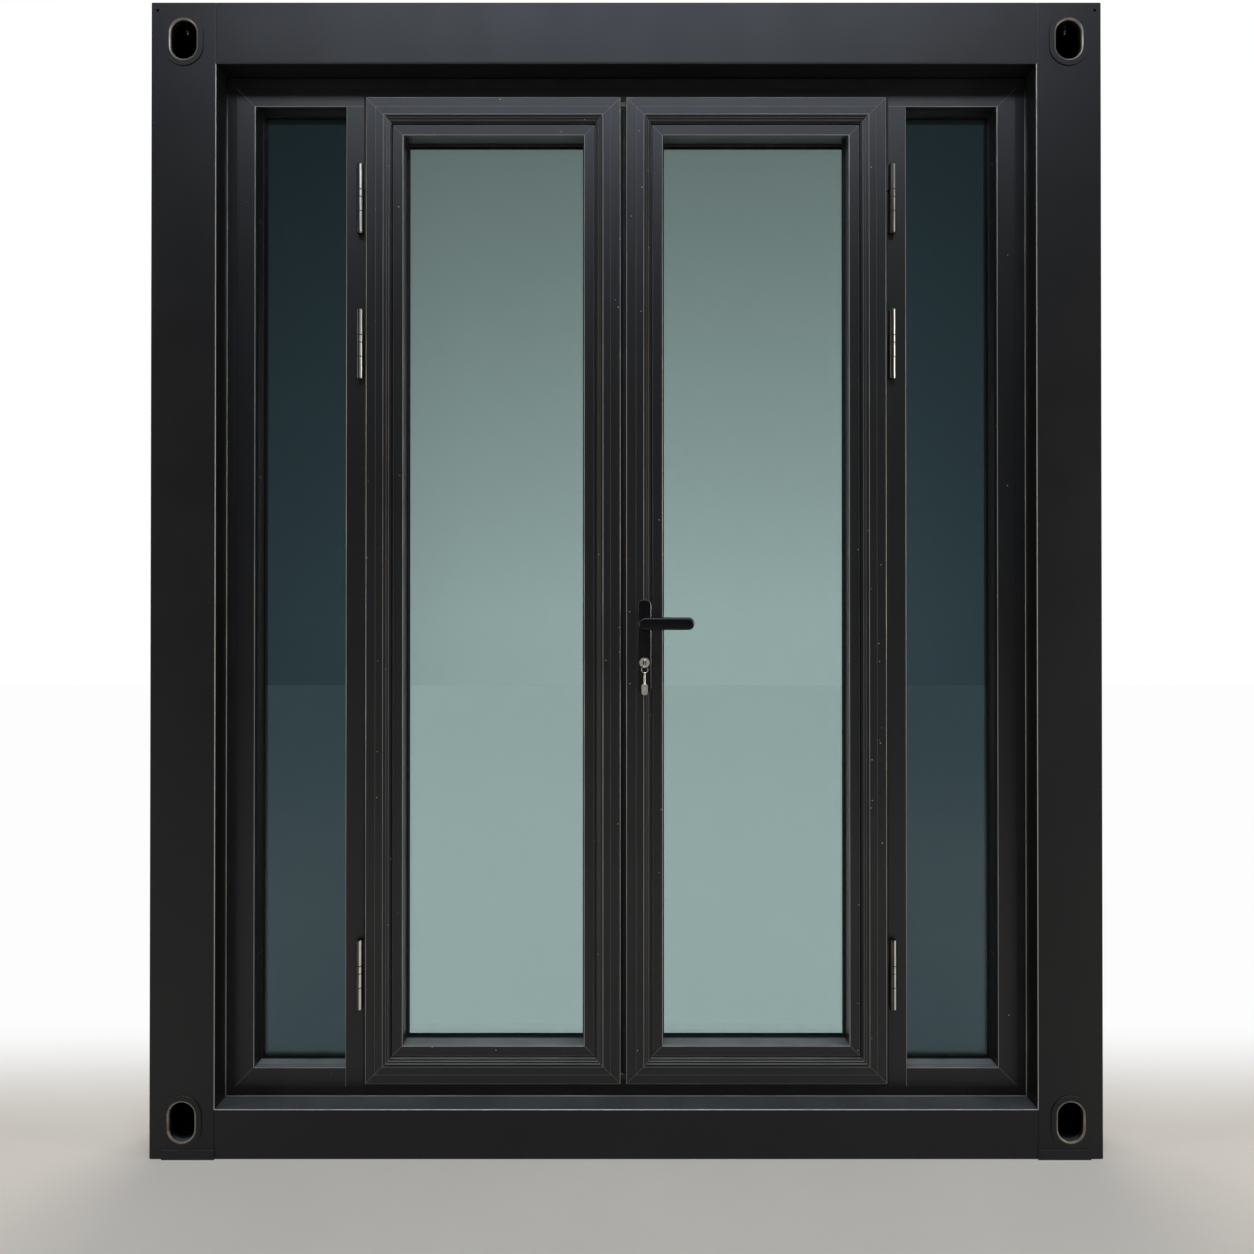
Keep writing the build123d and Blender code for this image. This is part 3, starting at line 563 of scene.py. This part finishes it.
# Washers: oil-darkened brass between the knuckles
washer_brass, tree, shader = finish("darkened_brass", Metallic=1.0)
place = add(tree, "TexCoord").outputs["Object"]
mottled(tree, shader, place, 5 * MM, ("#2A241C", "#4A4032"), 3 * MM, (0.35, 0.55))


def turned_disc(mesh, x, z, radius, height, edge):
    """Disc on a hinge's axis, with its rims rounded."""
    verts = bmesh.ops.create_cone(mesh, cap_ends=True, segments=40, radius1=radius, radius2=radius,
                                  depth=height)["verts"]
    bmesh.ops.translate(mesh, verts=verts, vec=(x, HINGE_Y, z))
    rims = list({item for vert in verts for item in vert.link_edges
                 if abs(item.verts[0].co.z - item.verts[1].co.z) < 1e-7})
    bmesh.ops.bevel(mesh, geom=rims, offset=edge, segments=3, profile=0.5, affect="EDGES", material=-1)


washers = bmesh.new()
foot_caps = bmesh.new()
lower_knuckles = bmesh.new()
upper_knuckles = {"left": bmesh.new(), "right": bmesh.new()}
head_caps = {"left": bmesh.new(), "right": bmesh.new()}
for side, x in (("left", -HINGE_X), ("right", HINGE_X)):
    for height in HINGE_HEIGHTS:
        top = height + HINGE_HALF
        for drop in WASHERS_FROM_TOP:
            turned_disc(washers, x, top - drop, *WASHER_DISC)
        for mesh, spans in ((lower_knuckles, LOWER_KNUCKLES), (upper_knuckles[side], (UPPER_KNUCKLE,))):
            for start, end in spans:
                turned_disc(mesh, x, top - (start + end) / 2, HINGE_RADIUS + 0.2 * MM, end - start, 0.6 * MM)
        turned_disc(foot_caps, x, height - HINGE_HALF - CAP_LIFT, *CAP_DISC)
        turned_disc(head_caps[side], x, top + CAP_LIFT, *CAP_DISC)
soften(washers, 12)
made("hinge_washers", washers, washer_brass, "frame")
soften(foot_caps, 12)
made("hinge_foot_caps", foot_caps, hinge_steel, "frame")
soften(lower_knuckles, 12)
made("hinge_lower_knuckles", lower_knuckles, hinge_steel, "frame")
for side in ("left", "right"):
    soften(head_caps[side], 12)
    made(f"{side}_hinge_head_caps", head_caps[side], hinge_steel, f"{side}_leaf")
    soften(upper_knuckles[side], 12)
    made(f"{side}_hinge_upper_knuckles", upper_knuckles[side], hinge_steel, f"{side}_leaf")


# Handle plates and levers.
# Zinc die castings in a black electrocoat: a long rounded plate and a flat lever on each side of the leaf.
# The levers share one square spindle and stand off the plates on round necks.

HANDLE_X = 40 * MM
HANDLE_Z = 1.145
PLATE_SIZE = (30 * MM, 205 * MM, 10 * MM)
PLATE_Z = 1.0955
LEVER_SIZE = (119 * MM, 27 * MM, 12 * MM)
LEVER_X = 86 * MM
# Neck and its collar: radius, length and rounding of the ends
NECK_DISCS = ((9.0 * MM, 40 * MM, 0.5 * MM), (12.5 * MM, 5 * MM, 1.5 * MM))
NECK_GAP = 0.3 * MM
PLATE_FACES = {"outside": -38 * MM, "inside": 40 * MM}
PLATE_CORNER = 13 * MM
PLATE_RIM = 2.0 * MM
LEVER_CORNER = 13.4 * MM
LEVER_RIM = 4.0 * MM
LEVER_STAND = 38 * MM


def electrocoat(name, centre, half, corner, line, lit):
    """Black electrocoat on a rounded slab, with a painted highlight of bright metal along a line in from its
    rim. The line is given as its place, half width and strength, and lit is the side in X and Z where it is
    brightest."""
    # Electrocoat is a thin hard black film with a gloss that follows every rounded edge
    material, tree, shader = finish(name, IOR=1.5, Specular_IOR_Level=0.3)
    place = add(tree, "TexCoord").outputs["Object"]
    past, _ = outside_of(tree, place, centre, (half[0] - corner, half[1] - corner))
    squares = []
    for distance in past:
        outward = add(tree, "Math", {0: distance, 1: 0.0}, operation="MAXIMUM").outputs[0]
        squares.append(add(tree, "Math", {0: outward, 1: outward}, operation="MULTIPLY").outputs[0])
    whole = add(tree, "Math", {0: squares[0], 1: squares[1]}, operation="ADD").outputs[0]
    out = add(tree, "Math", {0: whole}, operation="SQRT").outputs[0]
    inset = add(tree, "Math", {0: corner, 1: out}, operation="SUBTRACT").outputs[0]
    rim = edge_lines(tree, inset, 12 * MM, [line])
    apart = add(tree, "SeparateXYZ", {"Vector": place})
    sides = []
    for axis, middle, size, share in (("X", centre[0], half[0], lit[0]), ("Z", centre[1], half[1], lit[1])):
        sides.append(add(tree, "MapRange", {"Value": apart.outputs[axis], "From Min": middle - size,
                                            "From Max": middle + size, "To Min": -share, "To Max": share},
                         clamp=False).outputs["Result"])
    toward_highlight = add(tree, "Math", {0: sides[0], 1: sides[1]}, operation="ADD", use_clamp=True).outputs[0]
    # Painted highlight along the rim, strongest towards the lit side
    painted_highlight = add(tree, "Math", {0: rim, 1: toward_highlight}, operation="MULTIPLY").outputs[0]
    tone = blend(tree, uneven(tree, place, 30 * MM, 0.0, 1.0), "#030405", "#060709")
    tree.links.new(blend(tree, painted_highlight, tone, "#A9ADB2"), shader.inputs["Base Color"])
    tree.links.new(painted_highlight, shader.inputs["Metallic"])
    tree.links.new(uneven(tree, place, 30 * MM, 0.16, 0.22), shader.inputs["Roughness"])
    return material


plate_half = (PLATE_SIZE[0] / 2, PLATE_SIZE[1] / 2)
plate_coat = electrocoat("black_electrocoat_plate", (HANDLE_X, PLATE_Z), plate_half, PLATE_CORNER,
                         (1.3 * MM, 1.1 * MM, 0.6), (0.7, 0.9))
lever_half = (LEVER_SIZE[0] / 2, LEVER_SIZE[1] / 2)
lever_coat = electrocoat("black_electrocoat_lever", (LEVER_X, HANDLE_Z), lever_half, LEVER_CORNER,
                         (3.0 * MM, 1.2 * MM, 0.7), (0.2, 1.0))


def rounded_slab(size, corner, edge):
    """Slab with its outline in X and Z and its front towards the outside, with rounded corners and rims."""
    slab = bmesh.new()
    bmesh.ops.create_grid(slab, x_segments=1, y_segments=1, size=0.5)
    bmesh.ops.scale(slab, verts=slab.verts[:], vec=(size[0], size[1], 1))
    bmesh.ops.bevel(slab, geom=slab.verts[:], offset=corner, segments=9, profile=0.5, affect="VERTICES",
                    material=-1)
    front = new_verts(bmesh.ops.extrude_face_region(slab, geom=slab.faces[:]))
    bmesh.ops.translate(slab, verts=front, vec=(0, 0, size[2]))
    flats = [face for face in slab.faces if len(face.verts) > 4]
    rims = list({item for face in flats for item in face.edges})
    bmesh.ops.bevel(slab, geom=rims, offset=edge, segments=4, profile=0.5, affect="EDGES", material=-1)
    bmesh.ops.rotate(slab, verts=slab.verts[:], matrix=UPRIGHT)
    return slab


for side, face in PLATE_FACES.items():
    out = -1 if side == "outside" else 1
    plate = rounded_slab(PLATE_SIZE, PLATE_CORNER, PLATE_RIM)
    back = face if side == "outside" else face + PLATE_SIZE[2]
    bmesh.ops.translate(plate, verts=plate.verts[:], vec=(HANDLE_X, back, PLATE_Z))
    soften(plate, 12)
    piece = made(f"{side}_handle_plate_cast", plate, plate_coat, "right_leaf")
    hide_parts(f"{side}_handle_plate")

    lever = rounded_slab(LEVER_SIZE, LEVER_CORNER, LEVER_RIM)
    plate_front = face + out * PLATE_SIZE[2]
    near = plate_front + out * LEVER_STAND
    grip_back = near if side == "outside" else near + LEVER_SIZE[2]
    bmesh.ops.translate(lever, verts=lever.verts[:], vec=(LEVER_X, grip_back, HANDLE_Z))
    for radius, length, edge in NECK_DISCS:
        neck = bmesh.ops.create_cone(lever, cap_ends=True, segments=40, radius1=radius, radius2=radius,
                                     depth=length)["verts"]
        bmesh.ops.rotate(lever, verts=neck, matrix=UPRIGHT)
        middle = plate_front + out * (NECK_GAP + length / 2)
        bmesh.ops.translate(lever, verts=neck, vec=(HANDLE_X, middle, HANDLE_Z))
        ends = list({item for vert in neck for item in vert.link_edges
                     if abs(item.verts[0].co.y - item.verts[1].co.y) < 1e-7})
        bmesh.ops.bevel(lever, geom=ends, offset=edge, segments=3, profile=0.5, affect="EDGES", material=-1)
    soften(lever, 12)
    piece = made(f"{side}_lever_cast", lever, lever_coat, "lever")
    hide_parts(f"{side}_lever")


# Lock cylinder, key and edge plates.
# Turned brass and steel under bright nickel plate; the key hangs in the lock with a tag on its ring.
# The lock's faceplate and strike are brushed steel, each held by two countersunk screws.

# Nickel plate: warm white metal, rubbed dull in patches by handling
nickel, tree, shader = finish("nickel_plate", Metallic=1.0)
place = add(tree, "TexCoord").outputs["Object"]
mottled(tree, shader, place, 12 * MM, ("#E9E2D6", "#FAF6EE"), 4 * MM, (0.18, 0.34))
wear(nickel, "lock_cylinder", "key", "key_tag")

# Blackened brass: the plug's face round the keyway, dark and dull, which also paints the shade round the
# key's bow
plug_brass_and_shade, tree, shader = finish("blackened_brass_and_shade", Metallic=1.0)
place = add(tree, "TexCoord").outputs["Object"]
mottled(tree, shader, place, 2 * MM, ("#100E0C", "#26211B"), 1 * MM, (0.4, 0.6))
PLUG_SIZE = (7 * MM, 11 * MM, 0.5 * MM)
PLUG_FACE = -50.9 * MM
LOCK_Z = 1.060
# The dark plug face also paints the shade round the key's bow
plug = rounded_slab(PLUG_SIZE, 3.4 * MM, 0.2 * MM)
bmesh.ops.translate(plug, verts=plug.verts[:], vec=(HANDLE_X, PLUG_FACE, LOCK_Z))
soften(plug, 12)
made("lock_plug_face", plug, plug_brass_and_shade, "right_leaf")

# Brushed steel: grain 1 mm wide, drawn along the plate
edge_steel, tree, shader = finish("brushed_steel", Metallic=1.0)
place = add(tree, "TexCoord").outputs["Object"]
brushed = add(tree, "Mapping", {"Vector": place, "Scale": (1000.0, 1000.0, 12.0)})
lines = add(tree, "TexNoise", {"Vector": brushed.outputs["Vector"], "Scale": 1.0, "Detail": 2.0})
tree.links.new(blend(tree, lines.outputs["Fac"], "#84827E", "#ABA9A4"), shader.inputs["Base Color"])
tree.links.new(uneven(tree, brushed.outputs["Vector"], 1.0, 0.28, 0.42), shader.inputs["Roughness"])
wear(edge_steel, "lock_faceplate", "strike_plate")

EDGE_PLATE_Z = 1.1025
SCREW_REACH = 0.105
SCREW_RADII = (4 * MM, 3.2 * MM)
SCREW_DEPTH = 1.0 * MM
SOCKET_INSET = 1.6 * MM
SOCKET_DEPTH = 0.5 * MM
for side, x, out in (("left", -12 * MM, 1), ("right", 0.0, -1)):
    screws = bmesh.new()
    for height in (EDGE_PLATE_Z - SCREW_REACH, EDGE_PLATE_Z + SCREW_REACH):
        head = bmesh.ops.create_cone(screws, cap_ends=True, segments=24, radius1=SCREW_RADII[0],
                                     radius2=SCREW_RADII[1], depth=SCREW_DEPTH)["verts"]
        sides = {face for vert in head for face in vert.link_faces}
        cap = max(sides, key=lambda face: face.calc_center_median().z)
        socket = bmesh.ops.inset_region(screws, faces=[cap], thickness=SOCKET_INSET)
        bmesh.ops.translate(screws, verts=cap.verts[:], vec=(0, 0, -SOCKET_DEPTH))
        whole = list({vert for face in socket["faces"] for vert in face.verts} | set(head) | set(cap.verts))
        bmesh.ops.rotate(screws, verts=whole, matrix=Matrix.Rotation(math.radians(90 * out), 3, "Y"))
        bmesh.ops.translate(screws, verts=whole, vec=(x - out * 0.2 * MM, 1 * MM, height))
    soften(screws)
    made(f"{side}_edge_plate_screws", screws, edge_steel, f"{side}_leaf")


# Floor, light and camera.
# A plain pale floor in front, which runs out to white behind the door, a soft light high in front, a lamp
# over the header, tall lights and a softbox at the sides for the edges, and one inside behind the glass.

floor_paint, tree, shader = finish("pale_floor", Roughness=0.5)
place = add(tree, "TexCoord").outputs["Object"]
apart = add(tree, "SeparateXYZ", {"Vector": place})
behind = add(tree, "MapRange", {"Value": apart.outputs["Y"], "From Min": 0.0, "From Max": 0.6},
             interpolation_type="SMOOTHSTEP").outputs["Result"]
tone = blend(tree, uneven(tree, place, 0.5, 0.0, 1.0, 4.0), "#C9C4BB", "#D0CCC3")
tree.links.new(blend(tree, behind, tone, "#000000"), shader.inputs["Base Color"])
glow = add(tree, "MapRange", {"Value": behind, "To Min": 0.16, "To Max": 0.98}).outputs["Result"]
shader.inputs["Specular IOR Level"].default_value = 0.0
shader.inputs["Emission Color"].default_value = linear("#FFFFFF")
tree.links.new(glow, shader.inputs["Emission Strength"])
ground = bmesh.new()
bmesh.ops.create_grid(ground, x_segments=1, y_segments=1, size=14.0)
data = bpy.data.meshes.new("floor")
ground.to_mesh(data)
ground.free()
data.materials.append(floor_paint)
floor = bpy.data.objects.new("floor", data)
bpy.context.scene.collection.objects.link(floor)

world = bpy.data.worlds.new("studio")
world.use_nodes = True
bpy.context.scene.world = world
tree = world.node_tree
backdrop = tree.nodes["Background"]
backdrop.inputs["Color"].default_value = (1.0, 1.0, 1.0, 1.0)
direction = add(tree, "SeparateXYZ", {"Vector": add(tree, "TexCoord").outputs["Generated"]})
ahead = add(tree, "MapRange", {"Value": direction.outputs["Y"], "From Min": -0.2, "From Max": 0.8,
                               "To Min": 0.21, "To Max": 1.05})
upward = add(tree, "MapRange", {"Value": direction.outputs["Z"], "From Min": 0.0, "From Max": 0.46,
                                "To Min": 1.0, "To Max": 0.42})
sideways = add(tree, "ValToRGB", {"Fac": add(tree, "MapRange", {
    "Value": direction.outputs["X"], "From Min": -0.5, "From Max": 0.5}).outputs["Result"]})
pool = sideways.color_ramp.elements
SIDE_GREYS = ((0.0, 0.50), (0.16, 0.72), (0.34, 0.92), (0.56, 1.0), (0.74, 1.0), (0.86, 0.80), (1.0, 0.55))
for at, grey in SIDE_GREYS:
    stop = pool[0] if at == 0.0 else pool[-1] if at == 1.0 else pool.new(at)
    stop.position = at
    stop.color = (grey, grey, grey, 1.0)
shade = add(tree, "Math", {0: ahead.outputs["Result"], 1: upward.outputs["Result"]}, operation="MULTIPLY")
shade = add(tree, "Math", {0: shade.outputs[0], 1: sideways.outputs["Color"]}, operation="MULTIPLY")
seen = add(tree, "LightPath")
strength = add(tree, "Mix", {"Factor": seen.outputs["Is Camera Ray"], "A": shade.outputs[0], "B": 1.0},
               data_type="FLOAT")
tree.links.new(strength.outputs[0], backdrop.inputs["Strength"])

for name, stand, aim, size, watts, tint in (
        ("overhead_light", (0.0, -3.0, 4.7), (0.0, 0.0, 1.9), (4.6, 0.7), 92, "#E9F1FF"),
        ("header_lamp", (0.0, -1.1, 3.5), (0.0, 0.0, 2.2), (1.2, 0.2), 1.5, "#9CC4FF"),
        ("left_light", (-3.6, -1.3, 1.6), (0.0, 0.0, 1.3), (0.3, 3.0), 34, "#FFF4E8"),
        ("right_light", (3.6, -1.3, 1.6), (0.0, 0.0, 1.3), (0.3, 3.0), 34, "#FFF4E8"),
        ("right_softbox", (3.71, -1.5, 1.5), (0.0, 0.0, 1.4), (2.2, 2.6), 13, "#FFF8F0"),
        ("inside_light", (0.0, 2.2, 4.2), (0.0, 0.0, 1.2), (2.6, 0.8), 60, "#FFF6EA")):
    lamp = bpy.data.lights.new(name, "AREA")
    lamp.shape = "RECTANGLE"
    lamp.size = size[0]
    lamp.size_y = size[1]
    lamp.energy = watts
    lamp.color = linear(tint)[:3]
    light = bpy.data.objects.new(name, lamp)
    light.location = stand
    light.rotation_euler = (Vector(aim) - Vector(stand)).to_track_quat("-Z", "Y").to_euler()
    bpy.context.scene.collection.objects.link(light)

view = bpy.data.cameras.new("camera")
view.lens = 26.92
view.sensor_width = 36.0
view.shift_x = 0.00256
view.shift_y = -0.01046
camera = bpy.data.objects.new("camera", view)
camera.location = (-0.0051, -2.0883, 1.1576)
camera.rotation_euler = (math.radians(90.24), 0.0, 0.0)
bpy.context.scene.collection.objects.link(camera)
bpy.context.scene.camera = camera
bpy.context.scene.view_settings.view_transform = "Standard"
